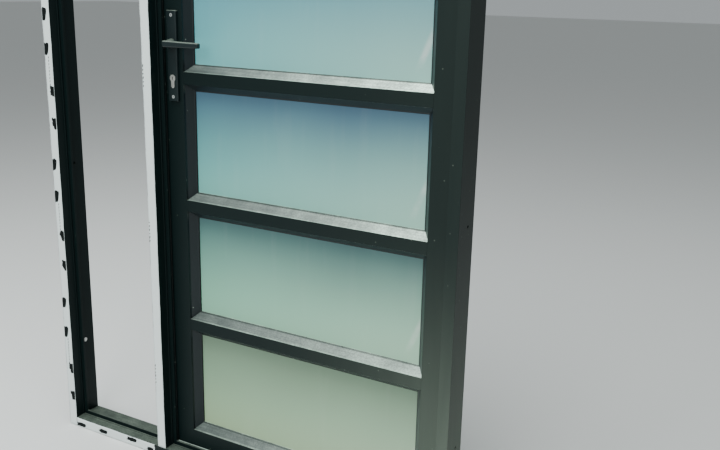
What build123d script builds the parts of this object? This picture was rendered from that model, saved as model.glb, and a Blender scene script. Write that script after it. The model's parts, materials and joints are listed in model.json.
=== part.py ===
from build123d import *
import math
import os

os.makedirs("parts", exist_ok=True)

# An aluminium entrance door in its frame. X runs to the right seen from outdoors, Y runs
# indoors, Z is up. The origin is the centre of the sill's underside.

# Frame, overall
frame_width = 1200.0
frame_height = 2100.0
frame_depth = 84.0
member_face = 28.0
member_wall = 2.0
door_opening = 803.0

# Stop rib on each frame member, measured outwards from the leaf's outdoor face
stop_gap = 8.0
stop_thick = 6.0
stop_height = 11.0
seal_groove_width = 3.0
seal_groove_depth = 2.0
ridge_gap = 3.0
ridge_width = 3.0
ridge_height = 1.5

# Leaf
leaf_gap = 6.0
leaf_thick = 38.0
stile_face = 57.0
rail_face = 49.0
transom_face = 31.0
leaf_wall = 2.0
edge_groove_width = 22.0
edge_groove_depth = 2.5
pane_count = 6

# Glazing
bead_width = 17.0
bead_lip_depth = 5.0
bead_lip_step = 0.6
bead_nose = 1.5
glass_setback = 26.0
glass_thick = 6.0
gasket_thick = 2.0
gasket_show = 1.5
gasket_hidden = 4.0
glass_edge_room = 5.5
block_length = 60.0

# Screw ports and screws in the extrusions
port_outer = 4.2
port_bore = 2.1
port_sink = 0.25
port_spacing = 60.0
screw_shank = 2.1
screw_hole = 2.5
screw_head = 4.2
screw_head_height = 2.6
screw_length = 24.0
flush_screw_head = 4.0
access_hole = 5.0

# Wall fixings
fixing_hole = 4.0
fixing_end = 257.0
fixing_count = 4
fixing_behind_stop = 13.0
cap_radius = 6.0
cap_thick = 1.5
cap_stem_length = 4.0

# Lock
backset = 30.0
spindle_height = 1134.0
case_above = 40.0
case_below = 120.0
case_thick = 16.0
case_depth = 50.0
case_wall = 1.5
forend_above = 78.0
forend_below = 158.0
forend_screw_inset = 9.0
latch_throw = 11.0
latch_thick = 11.0
latch_tall = 16.0
latch_tail_thick = 3.0
bolt_drop = 48.0
bolt_throw = 20.0
bolt_thick = 11.0
bolt_tall = 20.0
bolt_length = 40.0
sliding_clearance = 0.3
spindle_hole = 9.0
cutout_clearance = 1.0
cylinder_drop = 85.0
cylinder_length = 55.0
cylinder_round = 8.5
cylinder_web = 5.0
cylinder_tall = 33.0
plug_radius = 6.45
running_clearance = 0.05
cam_width = 10.0
cam_reach = 15.0
cam_ring = 8.0
cam_lobe = 7.0
cylinder_screw_length = 36.0

# Strike plate
strike_thick = 2.0
strike_width = 22.0
strike_length = 150.0
strike_clearance = 1.0
pocket_clearance = 2.0

# Handle
plate_width = 30.0
plate_thick = 8.0
plate_skin = 2.0
plate_corner = 3.0
plate_edge = 1.5
plate_above = 80.0
plate_below = 33.5
plate_screw_inset = 11.5
plate_screw_head = 4.2
plate_screw_head_height = 1.6
lever_length = 106.0
lever_tall = 16.0
lever_tip_tall = 13.0
lever_deep = 12.0
lever_projection = 40.0
lever_corner = 6.0
lever_edge = 2.0
lever_soft = 3.5
rose_radius = 12.0
spindle_clearance = 0.5
spindle_side = 8.0
spindle_in_lever = 14.0
follower_radius = 9.0
follower_nose_reach = 15.0
follower_nose_width = 4.0

# Hinges
hinge_count = 3
hinge_end = 200.0
hinge_height = 100.0
barrel_radius = 7.0
barrel_standoff = 9.0
hinge_pin_radius = 4.0
pin_head_radius = 5.5
pin_head_height = 3.0
hinge_plate_thick = 4.0
hinge_plate_width = 22.0
knuckle_gap = 0.4
hinge_screw_length = 9.0
hinge_screw_spacing = 36.0

# Weather seal
seal_compression = 0.3
seal_skin = 1.0

# Protective tape
tape_thick = 0.4
tape_end_gap = 8.0

# Places worked out from the sizes
front_plane = -frame_depth / 2
back_plane = frame_depth / 2
jamb_face = frame_width / 2 - member_face
mullion_right = jamb_face - door_opening
mullion_left = mullion_right - member_face
mullion_centre = (mullion_left + mullion_right) / 2
sill_top = member_face
head_under = frame_height - member_face

leaf_left = mullion_right + leaf_gap
leaf_right = jamb_face - leaf_gap
leaf_bottom = sill_top + leaf_gap
leaf_top = head_under - leaf_gap
leaf_back = back_plane
leaf_front = leaf_back - leaf_thick
stop_back = leaf_front - stop_gap
stop_front = stop_back - stop_thick
ridge_front = stop_front - ridge_gap - ridge_width
leaf_middle = leaf_front + leaf_thick / 2
rail_left = leaf_left + stile_face
rail_right = leaf_right - stile_face
pane_left = rail_left
pane_right = rail_right
glazed_height = leaf_top - leaf_bottom - 2 * rail_face
pane_height = (glazed_height - (pane_count - 1) * transom_face) / pane_count
pane_pitch = pane_height + transom_face
first_pane_bottom = leaf_bottom + rail_face
glass_front = leaf_front + glass_setback
glass_back = glass_front + glass_thick
leg_front = glass_back + gasket_thick
visible_edge = bead_width + gasket_show

spindle_x = leaf_left + backset
bolt_z = spindle_height - bolt_drop
cylinder_z = spindle_height - cylinder_drop
case_front = leaf_left + edge_groove_depth
case_back = leaf_left + case_depth
case_inner_front = case_front + case_wall
case_top = spindle_height + case_above
case_bottom = spindle_height - case_below

hinge_x = (leaf_right + jamb_face) / 2
hinge_y = back_plane + barrel_standoff
hinge_heights = [
    leaf_bottom + hinge_end + i * (leaf_top - leaf_bottom - 2 * hinge_end) / (hinge_count - 1)
    for i in range(hinge_count)
]
fixing_y = stop_back + fixing_behind_stop
fixing_pitch = (frame_height - 2 * fixing_end) / (fixing_count - 1)
port_ys = [-port_spacing / 2, port_spacing / 2]
port_wall_distance = port_outer - port_sink


def block(x0, x1, y0, y1, z0, z1):
    """A block between two corners."""
    centre = Pos((x0 + x1) / 2, (y0 + y1) / 2, (z0 + z1) / 2)
    return centre * Box(x1 - x0, y1 - y0, z1 - z0)


def rect(u0, u1, v0, v1):
    """A rectangle between two corners, for cross-sections."""
    return Pos((u0 + u1) / 2, (v0 + v1) / 2) * Rectangle(u1 - u0, v1 - v0)


def rod_x(radius, x0, x1, y, z):
    """A round bar along X."""
    return Pos((x0 + x1) / 2, y, z) * Rot(0, 90, 0) * Cylinder(radius, x1 - x0)


def rod_y(radius, x, y0, y1, z):
    """A round bar along Y."""
    return Pos(x, (y0 + y1) / 2, z) * Rot(90, 0, 0) * Cylinder(radius, y1 - y0)


def rod_z(radius, x, y, z0, z1):
    """A round bar along Z."""
    return Pos(x, y, (z0 + z1) / 2) * Cylinder(radius, z1 - z0)


def along_z(section, x, z0, z1):
    """Carry a section drawn across X and Y up from z0 to z1."""
    return Pos(x, 0, z0) * extrude(section, z1 - z0)


def along_x(section, z, x0, x1):
    """Carry a section along X, with what was drawn across X now standing along Z."""
    plane = Plane(origin=(x1, 0, z), x_dir=(0, 0, 1), z_dir=(-1, 0, 0))
    return extrude(plane * section, x1 - x0)


def port(u, v):
    """The outline of a round screw port."""
    return Pos(u, v) * Circle(port_outer)


def port_hole(u, v):
    """The bore of a round screw port."""
    return Pos(u, v) * Circle(port_bore)


def drilled(body, screws):
    """A piece with the holes of its screws in it."""
    for screw in screws:
        body -= screw
    return body


# Frame members

def stop_rib(side):
    """The stop rib and the small ridge on one side of a frame member's section."""
    root = member_face / 2
    groove_centre = root + stop_height / 2
    rib = rect(side * root, side * (root + stop_height), stop_front, stop_back)
    rib -= rect(
        side * (groove_centre - seal_groove_width / 2),
        side * (groove_centre + seal_groove_width / 2),
        stop_back - seal_groove_depth,
        stop_back,
    )
    ridge = rect(side * root, side * (root + ridge_height), ridge_front, ridge_front + ridge_width)
    return rib + ridge


def member_ports(side):
    """Where a member's screw ports lie in its section, on the wall away from its stop."""
    across = -side * (member_face / 2 - member_wall - port_wall_distance)
    return [(across, y) for y in port_ys]


def member_section(sides, ports_on=0):
    """A hollow frame member with stop ribs on the given sides and screw ports on one wall."""
    half = member_face / 2
    inner = half - member_wall
    section = rect(-half, half, front_plane, back_plane)
    section -= rect(-inner, inner, front_plane + member_wall, back_plane - member_wall)
    for side in sides:
        section += stop_rib(side)
    if ports_on:
        for u, v in member_ports(-ports_on):
            section += port(u, v)
            section -= port_hole(u, v)
    return section


def member_envelope(sides):
    """The filled outline of a frame member, to cope the members that meet it."""
    half = member_face / 2
    section = rect(-half, half, front_plane, back_plane)
    for side in sides:
        section += rect(side * half, side * (half + stop_height), stop_front, stop_back)
        section += rect(
            side * half, side * (half + ridge_height), ridge_front, ridge_front + ridge_width
        )
    return section


def fixing_heights():
    """Heights of the wall fixing holes in each jamb."""
    return [fixing_end + i * fixing_pitch for i in range(fixing_count)]


def cross_member_ports(side):
    """Places of the sill's or head's screw ports, as depth and height."""
    level = member_face / 2 if side > 0 else frame_height - member_face / 2
    return [(v, level + u) for u, v in member_ports(side)]


def jamb(side):
    """A full-height jamb; side is -1 at the left and +1 at the right."""
    centre = side * (frame_width / 2 - member_face / 2)
    outer = side * frame_width / 2
    inner = side * jamb_face
    body = along_z(member_section([-side]), centre, 0, frame_height)
    near, far = sorted((inner, inner - side * (stop_height + 1)))
    for z0, z1 in ((0, sill_top), (head_under, frame_height)):
        body -= block(near, far, front_plane, back_plane, z0, z1)
    low_x, high_x = sorted((outer, inner))
    for z in fixing_heights():
        body -= rod_x(fixing_hole, low_x - 1, high_x + 1, fixing_y, z)
    mid = (outer + inner) / 2
    for row in (1, -1):
        for y, z in cross_member_ports(row):
            near, far = sorted((mid, inner - side))
            body -= rod_x(screw_hole, near, far, y, z)
            near, far = sorted((mid, outer + side))
            body -= rod_x(access_hole, near, far, y, z)
    return body


def mullion():
    """The mullion between sill and head, with holes for the latch and the dead bolt."""
    body = along_z(member_section([-1, 1], ports_on=-1), mullion_centre, sill_top, head_under)
    wall_from = mullion_right - member_wall - 1
    for z, tall, thick in (
        (spindle_height, latch_tall, latch_thick),
        (bolt_z, bolt_tall, bolt_thick),
    ):
        high = tall / 2 + pocket_clearance
        deep = thick / 2 + pocket_clearance
        body -= block(
            wall_from, mullion_right + 1, leaf_middle - deep, leaf_middle + deep, z - high, z + high
        )
    return drilled(body, strike_screws())


def mullion_screw_places():
    """X and Y of the screws that hold the mullion's ends."""
    return [(mullion_centre + u, v) for u, v in member_ports(1)]


def cross_member(side):
    """The sill, with side +1, or the head, with side -1: its stop faces the door opening."""
    level = member_face / 2 if side > 0 else frame_height - member_face / 2
    section = member_section([side], ports_on=-side)
    body = along_x(section, level, -jamb_face, jamb_face)
    for x, sides in (
        (-frame_width / 2 + member_face / 2, [1]),
        (mullion_centre, [-1, 1]),
        (frame_width / 2 - member_face / 2, [-1]),
    ):
        room = stop_height + ridge_height
        base = sill_top if side > 0 else head_under - room
        body -= along_z(member_envelope(sides), x, base, base + room)
    inner = sill_top if side > 0 else head_under
    outer = 0 if side > 0 else frame_height
    mid = (inner + outer) / 2
    for x, y in mullion_screw_places():
        near, far = sorted((mid, inner + side))
        body -= rod_z(screw_hole, x, y, near, far)
        near, far = sorted((mid, outer - side))
        body -= rod_z(access_hole, x, y, near, far)
    return body


def screw_along(axis, point, direction):
    """A pan-head screw whose head's underside is at point and whose shank runs by direction."""
    head = Pos(0, 0, -screw_head_height / 2) * Cylinder(screw_head, screw_head_height)
    shank = Pos(0, 0, screw_length / 2) * Cylinder(screw_shank, screw_length)
    turn = {
        ("x", 1): Rot(0, 90, 0),
        ("x", -1): Rot(0, -90, 0),
        ("z", 1): Rot(0, 0, 0),
        ("z", -1): Rot(180, 0, 0),
    }[(axis, direction)]
    return Pos(*point) * turn * (head + shank)


def frame_screws():
    """Screws through the jambs into sill and head, and through those into the mullion."""
    screws = []
    for side in (-1, 1):
        seat = side * (jamb_face + member_wall)
        for row in (1, -1):
            for y, z in cross_member_ports(row):
                screws.append(screw_along("x", (seat, y, z), -side))
    for x, y in mullion_screw_places():
        screws.append(screw_along("z", (x, y, sill_top - member_wall), 1))
        screws.append(screw_along("z", (x, y, head_under + member_wall), -1))
    return screws


def flush_screw(x, y, z, turn, length):
    """A countersunk screw whose flat head lies at a point and whose shank runs inwards."""
    depth = flush_screw_head - screw_shank
    head = Pos(0, 0, depth / 2) * Cone(flush_screw_head, screw_shank, depth)
    shank = Pos(0, 0, length / 2) * Cylinder(screw_shank, length)
    return Pos(x, y, z) * turn * (head + shank)


def fixing_cap():
    """The white cap pressed into the left jamb's lowest fixing hole."""
    disc = rod_x(cap_radius, -jamb_face, -jamb_face + cap_thick, fixing_y, fixing_end)
    disc = fillet(disc.edges().group_by(Axis.X)[-1], cap_thick * 0.6)
    stem = rod_x(fixing_hole, -jamb_face - cap_stem_length, -jamb_face, fixing_y, fixing_end)
    return disc + stem


# Weather seal

def seal_section():
    """A hollow bulb with a tongue for the stop's groove; across is 0 at the rib's middle."""
    reach = leaf_front - stop_back - seal_compression
    bulb = Pos(0, stop_back + reach / 2) * Circle(reach / 2)
    foot = rect(-seal_groove_width, seal_groove_width, stop_back, stop_back + seal_skin)
    tongue = rect(
        -seal_groove_width / 2, seal_groove_width / 2, stop_back - seal_groove_depth, stop_back
    )
    hollow = Pos(0, stop_back + reach / 2) * Circle(reach / 2 - seal_skin)
    return bulb + foot + tongue - hollow


def door_seal():
    """Four lengths of seal round the door opening, upright ones running through."""
    middle = stop_height / 2
    section = seal_section()
    uprights = [
        along_z(section, mullion_right + middle, sill_top, head_under),
        along_z(section, jamb_face - middle, sill_top, head_under),
    ]
    left = mullion_right + stop_height
    right = jamb_face - stop_height
    levels = [
        along_x(section, sill_top + middle, left, right),
        along_x(section, head_under - middle, left, right),
    ]
    return uprights + levels


# Leaf

def edge_of(side):
    """The leaf's edge on one side, -1 for the lock side."""
    return leaf_left if side < 0 else leaf_right


def stile_section(side):
    """A hollow stile with a hardware groove in its edge and a glazing leg indoors."""
    edge = edge_of(side)

    def across(u0, u1, v0, v1):
        return rect(edge - side * u0, edge - side * u1, v0, v1)

    groove_half = edge_groove_width / 2
    section = across(0, stile_face, leaf_front, leaf_back)
    section -= across(
        leaf_wall, stile_face - leaf_wall, leaf_front + leaf_wall, leaf_back - leaf_wall
    )
    section += across(
        0,
        edge_groove_depth + leaf_wall,
        leaf_middle - groove_half - leaf_wall,
        leaf_middle + groove_half + leaf_wall,
    )
    section -= across(-1, edge_groove_depth, leaf_middle - groove_half, leaf_middle + groove_half)
    section += across(stile_face, stile_face + bead_width, leg_front, leaf_back)
    return section


def rail_levels():
    """Centre height, face and glazing legs of each rail and transom, from the bottom up."""
    levels = [(leaf_bottom + rail_face / 2, rail_face, [1])]
    for i in range(1, pane_count):
        centre = first_pane_bottom + i * pane_pitch - transom_face / 2
        levels.append((centre, transom_face, [-1, 1]))
    levels.append((leaf_top - rail_face / 2, rail_face, [-1]))
    return levels


def rail_ports(face):
    """Offsets of a rail's screw ports from its centre: two in a rail, one in a transom."""
    offset = face / 2 - leaf_wall - port_wall_distance
    return [-offset, offset] if face == rail_face else [-offset]


def rail(centre, face, legs):
    """A hollow rail or transom with glazing legs above, below or both."""
    half = face / 2
    section = rect(-half, half, leaf_front, leaf_back)
    section -= rect(
        -half + leaf_wall, half - leaf_wall, leaf_front + leaf_wall, leaf_back - leaf_wall
    )
    for u in rail_ports(face):
        section += port(u, leaf_middle)
        section -= port_hole(u, leaf_middle)
    body = along_x(section, centre, rail_left, rail_right)
    for x0, x1 in ((rail_left, rail_left + bead_width), (rail_right - bead_width, rail_right)):
        body -= block(x0, x1, leg_front, leaf_back, centre - half, centre + half)
    for side in legs:
        leg = rect(side * half, side * (half + bead_width), leg_front, leaf_back)
        body += along_x(leg, centre, rail_left + bead_width, rail_right - bead_width)
    return body


def stile(side):
    """A full-height stile, drilled for the screws that hold the rails."""
    edge = edge_of(side)
    body = along_z(stile_section(side), 0, leaf_bottom, leaf_top)
    inner_face = edge - side * stile_face
    mid = edge - side * stile_face / 2
    for centre, face, _legs in rail_levels():
        for u in rail_ports(face):
            near, far = sorted((mid, inner_face - side))
            body -= rod_x(screw_hole, near, far, leaf_middle, centre + u)
            near, far = sorted((mid, edge + side))
            body -= rod_x(access_hole, near, far, leaf_middle, centre + u)
    return body


def euro_outline(clearance):
    """The profile of a euro cylinder, round plug end up, in the XZ plane."""
    drop = cylinder_tall - cylinder_round - cylinder_web
    shape = Circle(cylinder_round + clearance)
    shape += rect(-cylinder_web - clearance, cylinder_web + clearance, -drop, 0)
    shape += Pos(0, -drop) * Circle(cylinder_web + clearance)
    return shape


def euro_prism(y0, y1, clearance=0.0):
    """A euro-profile prism from y0 to y1 at the cylinder's place."""
    plane = Plane(origin=(spindle_x, y1, cylinder_z), x_dir=(1, 0, 0), z_dir=(0, -1, 0))
    return extrude(plane * euro_outline(clearance), y1 - y0)


def plate_span():
    """Bottom and top of the handle plates, which cover both the spindle and the cylinder."""
    foot = cylinder_z + cylinder_round - cylinder_tall
    return foot - plate_below, spindle_height + plate_above


def plate_screw_heights():
    """Heights of the two screws through the handle plates."""
    bottom, top = plate_span()
    return [top - plate_screw_inset, bottom + plate_screw_inset]


def lock_stile():
    """The stile at the mullion, cut for the lock, spindle, cylinder and plate screws."""
    body = stile(-1)
    half = case_thick / 2
    body -= block(
        leaf_left, case_front + leaf_wall + 1, leaf_middle - half, leaf_middle + half,
        case_bottom, case_top,
    )
    front, back = leaf_front - 1, leaf_back + 1
    body -= rod_y(spindle_hole, spindle_x, front, back, spindle_height)
    body -= euro_prism(front, back, cutout_clearance)
    for z in plate_screw_heights():
        body -= rod_y(screw_hole + running_clearance, spindle_x, front, back, z)
    return drilled(body, lock_screws())


def bead_bar(length):
    """A bevelled bead with mitred ends, lying along X with its outer edge at height 0."""
    back = glass_setback - gasket_thick
    outline = [
        (0, 0),
        (bead_lip_step, bead_lip_depth),
        (bead_width - bead_nose, back - bead_nose),
        (bead_width, back - bead_nose),
        (bead_width, back),
        (0, back),
    ]
    section = make_face(Polyline(outline, close=True))
    plane = Plane(origin=(length / 2, 0, 0), x_dir=(0, 0, 1), z_dir=(-1, 0, 0))
    bar = extrude(plane * section, length)
    mitre = make_face(
        Polyline(
            [
                (-length / 2, 0),
                (length / 2, 0),
                (length / 2 - bead_width, bead_width),
                (-length / 2 + bead_width, bead_width),
            ],
            close=True,
        )
    )
    keep = extrude(Plane.XZ * mitre, -back)
    return bar & keep


def pane_frame(i):
    """Left, right, bottom and top of the hole that pane i is glazed into."""
    bottom = first_pane_bottom + i * pane_pitch
    return pane_left, pane_right, bottom, bottom + pane_height


def pane_beads(i):
    """The four outdoor beads round pane i."""
    left, right, bottom, top = pane_frame(i)
    wide, tall = right - left, top - bottom
    middle_x, middle_z = (left + right) / 2, (bottom + top) / 2
    places = [
        (middle_x, bottom, 0, wide),
        (right, middle_z, -90, tall),
        (middle_x, top, 180, wide),
        (left, middle_z, 90, tall),
    ]
    return [
        Pos(x, leaf_front, z) * Rot(0, turn, 0) * bead_bar(length)
        for x, z, turn, length in places
    ]


def ring(i, outer_inset, inner_inset, y0, y1):
    """A rectangular ring round pane i, between two insets from its hole's edge."""
    left, right, bottom, top = pane_frame(i)
    outside = block(
        left + outer_inset, right - outer_inset, y0, y1, bottom + outer_inset, top - outer_inset
    )
    inside = block(
        left + inner_inset, right - inner_inset, y0 - 1, y1 + 1,
        bottom + inner_inset, top - inner_inset,
    )
    return outside - inside


def gaskets(y0):
    """One gasket ring for each pane, starting at depth y0."""
    hidden_edge = bead_width - gasket_hidden
    return [ring(i, hidden_edge, visible_edge, y0, y0 + gasket_thick) for i in range(pane_count)]


def glass_pane(i):
    """A frosted pane, with room round its edge in the frame."""
    left, right, bottom, top = pane_frame(i)
    room = glass_edge_room
    return block(left + room, right - room, glass_front, glass_back, bottom + room, top - room)


def setting_blocks():
    """Two blocks under each pane, at its quarter points."""
    blocks = []
    for i in range(pane_count):
        left, right, bottom, _top = pane_frame(i)
        for share in (0.25, 0.75):
            x = left + share * (right - left)
            half = block_length / 2
            blocks.append(
                block(x - half, x + half, glass_front, glass_back, bottom, bottom + glass_edge_room)
            )
    return blocks


def leaf_screws():
    """Screws through the stiles' inner walls into the rails and transoms."""
    screws = []
    for side in (-1, 1):
        seat = edge_of(side) - side * (stile_face - leaf_wall)
        for centre, face, _legs in rail_levels():
            for u in rail_ports(face):
                screws.append(screw_along("x", (seat, leaf_middle, centre + u), -side))
    return screws


# Lock

def forend_screw_heights():
    """Heights of the two screws through the forend."""
    top = spindle_height + forend_above
    bottom = spindle_height - forend_below
    return [top - forend_screw_inset, bottom + forend_screw_inset]


def lock_forend():
    """The long plate in the stile's edge groove, with holes for latch and dead bolt."""
    half = edge_groove_width / 2
    top = spindle_height + forend_above
    bottom = spindle_height - forend_below
    plate = block(leaf_left, case_front, leaf_middle - half, leaf_middle + half, bottom, top)
    for z, tall, thick in (
        (spindle_height, latch_tall, latch_thick),
        (bolt_z, bolt_tall, bolt_thick),
    ):
        high = tall / 2 + sliding_clearance
        deep = thick / 2 + sliding_clearance
        plate -= block(
            leaf_left - 1, case_front + 1, leaf_middle - deep, leaf_middle + deep, z - high, z + high
        )
    return drilled(plate, lock_screws())


def cylinder_screw_height():
    """Height of the long screw that holds the cylinder, in the web under the cam."""
    bridge_top = cylinder_z - cam_reach
    bridge_bottom = cylinder_z + cylinder_round - cylinder_tall
    return (bridge_top + bridge_bottom) / 2


def lock_case():
    """The lock's sheet case, open inside for the follower, latch, dead bolt and cam."""
    half = case_thick / 2
    body = block(
        case_front, case_back, leaf_middle - half, leaf_middle + half, case_bottom, case_top
    )
    body -= block(
        case_inner_front, case_back - case_wall, leaf_middle - half + case_wall,
        leaf_middle + half - case_wall, case_bottom + case_wall, case_top - case_wall,
    )
    for z, tall, thick in (
        (spindle_height, latch_tall, latch_thick),
        (bolt_z, bolt_tall, bolt_thick),
    ):
        high = tall / 2 + sliding_clearance
        deep = thick / 2 + sliding_clearance
        body -= block(
            case_front - 1, case_inner_front + 1, leaf_middle - deep, leaf_middle + deep,
            z - high, z + high,
        )
    front, back = leaf_middle - half - 1, leaf_middle + half + 1
    body -= rod_y(follower_hub_radius(), spindle_x, front, back, spindle_height)
    body -= euro_prism(front, back, running_clearance)
    return drilled(body, lock_screws())


def follower_hub_radius():
    """The hole in the case that the follower's round ends turn in."""
    return spindle_side * 0.9


def lock_follower():
    """The square-holed follower: a hub that turns in the case and a nose for the latch."""
    half = case_thick / 2
    inner = half - case_wall - sliding_clearance
    hub = rod_y(
        follower_radius, spindle_x, leaf_middle - inner, leaf_middle + inner, spindle_height
    )
    ends = rod_y(
        follower_hub_radius() - running_clearance, spindle_x, leaf_middle - half,
        leaf_middle + half, spindle_height,
    )
    nose_half = follower_nose_width / 2
    nose_deep = latch_thick / 2
    nose = block(
        spindle_x - nose_half, spindle_x + nose_half, leaf_middle - nose_deep,
        leaf_middle + nose_deep, spindle_height, spindle_height + follower_nose_reach,
    )
    side = spindle_side / 2
    square = block(
        spindle_x - side, spindle_x + side, leaf_middle - half - 1, leaf_middle + half + 1,
        spindle_height - side, spindle_height + side,
    )
    return hub + ends + nose - square


def latch_bolt():
    """The spring latch, out at rest, with a tail that the follower's nose draws back."""
    half_thick = latch_thick / 2
    half_tall = latch_tall / 2
    tip = leaf_left - latch_throw
    rear = spindle_x - follower_radius - latch_throw - 1
    head = block(
        tip, rear, leaf_middle - half_thick, leaf_middle + half_thick,
        spindle_height - half_tall, spindle_height + half_tall,
    )
    bevel = make_face(
        Polyline(
            [
                (tip - 1, leaf_middle - half_thick - 1),
                (leaf_left - 1, leaf_middle - half_thick - 1),
                (leaf_left - 1, leaf_middle - half_thick),
                (tip + 1, leaf_middle + half_thick - 2),
                (tip - 1, leaf_middle + half_thick - 2),
            ],
            close=True,
        )
    )
    head -= Pos(0, 0, spindle_height - half_tall - 1) * extrude(bevel, latch_tall + 2)
    catch_x = spindle_x + follower_nose_width / 2 + 2 * sliding_clearance
    bar_bottom = spindle_height + follower_nose_reach + 2 * sliding_clearance
    bar_top = bar_bottom + latch_tail_thick
    riser_from = case_inner_front + sliding_clearance
    deep = half_thick - 1
    riser = block(
        riser_from, rear, leaf_middle - deep, leaf_middle + deep, spindle_height, bar_top
    )
    bar = block(
        riser_from, catch_x + latch_tail_thick, leaf_middle - deep, leaf_middle + deep,
        bar_bottom, bar_top,
    )
    catch = block(
        catch_x, catch_x + latch_tail_thick, leaf_middle - deep, leaf_middle + deep,
        spindle_height + follower_radius + 1, bar_top,
    )
    return head + riser + bar + catch


def dead_bolt():
    """The dead bolt, drawn back at rest, with a tail that ends above the cam's sweep."""
    half_thick = bolt_thick / 2
    half_tall = bolt_tall / 2
    bar = block(
        leaf_left, leaf_left + bolt_length, leaf_middle - half_thick, leaf_middle + half_thick,
        bolt_z - half_tall, bolt_z + half_tall,
    )
    tail_bottom = cylinder_z + cam_reach + 2 * sliding_clearance
    tail = block(
        leaf_left + bolt_length - 2 * cam_lobe, leaf_left + bolt_length,
        leaf_middle - half_thick, leaf_middle + half_thick, tail_bottom, bolt_z,
    )
    return bar + tail


def cylinder_ends():
    """Front and back of the euro cylinder, centred on the leaf."""
    return leaf_middle - cylinder_length / 2, leaf_middle + cylinder_length / 2


def cylinder_body():
    """The euro-profile body with its bore, cam slot and fixing thread hole."""
    front, back = cylinder_ends()
    body = euro_prism(front, back)
    body -= rod_y(plug_radius + running_clearance, spindle_x, front - 1, back + 1, cylinder_z)
    half = cam_width / 2 + sliding_clearance
    reach = cam_reach + sliding_clearance
    body -= block(
        spindle_x - cylinder_tall, spindle_x + cylinder_tall, leaf_middle - half,
        leaf_middle + half, cylinder_z - reach, cylinder_z + cylinder_tall,
    )
    return drilled(body, lock_screws())


def cylinder_plugs():
    """The outdoor and indoor plugs, each with a keyway."""
    front, back = cylinder_ends()
    half = cam_width / 2
    plugs = []
    for y0, y1, face in (
        (front, leaf_middle - half, front),
        (leaf_middle + half, back, back),
    ):
        plug = rod_y(plug_radius, spindle_x, y0, y1, cylinder_z)
        inward = 1 if face == front else -1
        deep = sorted((face - inward, face + inward * 2 * cam_reach / 2))
        keyway = block(
            spindle_x - 1, spindle_x + 1, deep[0], deep[1],
            cylinder_z - plug_radius * 0.7, cylinder_z + plug_radius * 0.6,
        )
        plugs.append(plug - keyway)
    return plugs


def cylinder_cam():
    """The cam between the plugs, which throws the dead bolt."""
    half = cam_width / 2
    ring_part = rod_y(cam_ring, spindle_x, leaf_middle - half, leaf_middle + half, cylinder_z)
    lobe = block(
        spindle_x - cam_lobe / 2, spindle_x + cam_lobe / 2, leaf_middle - half, leaf_middle + half,
        cylinder_z - cam_reach, cylinder_z,
    )
    round_end = rod_y(cam_reach, spindle_x, leaf_middle - half, leaf_middle + half, cylinder_z)
    return ring_part + (lobe & round_end)


def lock_screws():
    """Two forend screws and the long screw that holds the cylinder."""
    turn = Rot(0, 90, 0)
    screws = [
        flush_screw(leaf_left, leaf_middle, z, turn, hinge_screw_length)
        for z in forend_screw_heights()
    ]
    z = cylinder_screw_height()
    screws.append(flush_screw(leaf_left, leaf_middle, z, turn, cylinder_screw_length))
    return screws


# Strike plate

def strike_screw_heights():
    """Heights of the strike plate's two screws."""
    centre = (spindle_height + bolt_z) / 2
    reach = strike_length / 2 - forend_screw_inset
    return [centre + reach, centre - reach]


def strike_plate():
    """The keep on the mullion, with holes for the latch and the dead bolt."""
    centre = (spindle_height + bolt_z) / 2
    half = strike_width / 2
    plate = block(
        mullion_right, mullion_right + strike_thick, leaf_middle - half, leaf_middle + half,
        centre - strike_length / 2, centre + strike_length / 2,
    )
    for z, tall, thick in (
        (spindle_height, latch_tall, latch_thick),
        (bolt_z, bolt_tall, bolt_thick),
    ):
        high = tall / 2 + strike_clearance
        deep = thick / 2 + strike_clearance
        plate -= block(
            mullion_right - 1, mullion_right + strike_thick + 1, leaf_middle - deep,
            leaf_middle + deep, z - high, z + high,
        )
    return drilled(plate, strike_screws())


def strike_screws():
    """Countersunk screws that hold the strike plate."""
    x = mullion_right + strike_thick
    turn = Rot(0, -90, 0)
    return [
        flush_screw(x, leaf_middle, z, turn, screw_length / 2) for z in strike_screw_heights()
    ]


# Handle

def outward(side):
    """The leaf face that a handle plate sits on; side -1 is outdoors."""
    return leaf_front if side < 0 else leaf_back


def handle_plate(side):
    """A long cover plate, hollow behind, with bosses round its holes."""
    face = outward(side)
    bottom, top = plate_span()
    half = plate_width / 2
    y0, y1 = sorted((face, face + side * plate_thick))
    plate = block(spindle_x - half, spindle_x + half, y0, y1, bottom, top)
    plate = fillet(plate.edges().filter_by(Axis.Y), plate_corner)
    front_face = plate.faces().sort_by(Axis.Y)[-1 if side > 0 else 0]
    plate = chamfer(front_face.edges(), plate_edge)
    skin = face + side * (plate_thick - plate_skin)
    h0, h1 = sorted((face - side, skin))
    hollow = block(
        spindle_x - half + plate_skin, spindle_x + half - plate_skin, h0, h1,
        bottom + plate_skin, top - plate_skin,
    )
    b0, b1 = sorted((face, skin))
    for z in plate_screw_heights():
        hollow -= rod_y(plate_screw_head + plate_skin, spindle_x, b0, b1, z)
    hollow -= rod_y(rose_radius + plate_skin, spindle_x, b0, b1, spindle_height)
    plate -= hollow
    through = sorted((face - side, face + side * (plate_thick + 1)))
    plate -= rod_y(
        spindle_side * math.sqrt(0.5) + spindle_clearance, spindle_x, through[0], through[1],
        spindle_height,
    )
    plate -= euro_prism(through[0], through[1], sliding_clearance)
    for z in plate_screw_heights():
        plate -= rod_y(screw_hole, spindle_x, through[0], through[1], z)
        seat = face + side * (plate_thick - plate_screw_head_height)
        sink = sorted((seat, face + side * (plate_thick + 1)))
        plate -= rod_y(plate_screw_head, spindle_x, sink[0], sink[1], z)
    return plate


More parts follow.
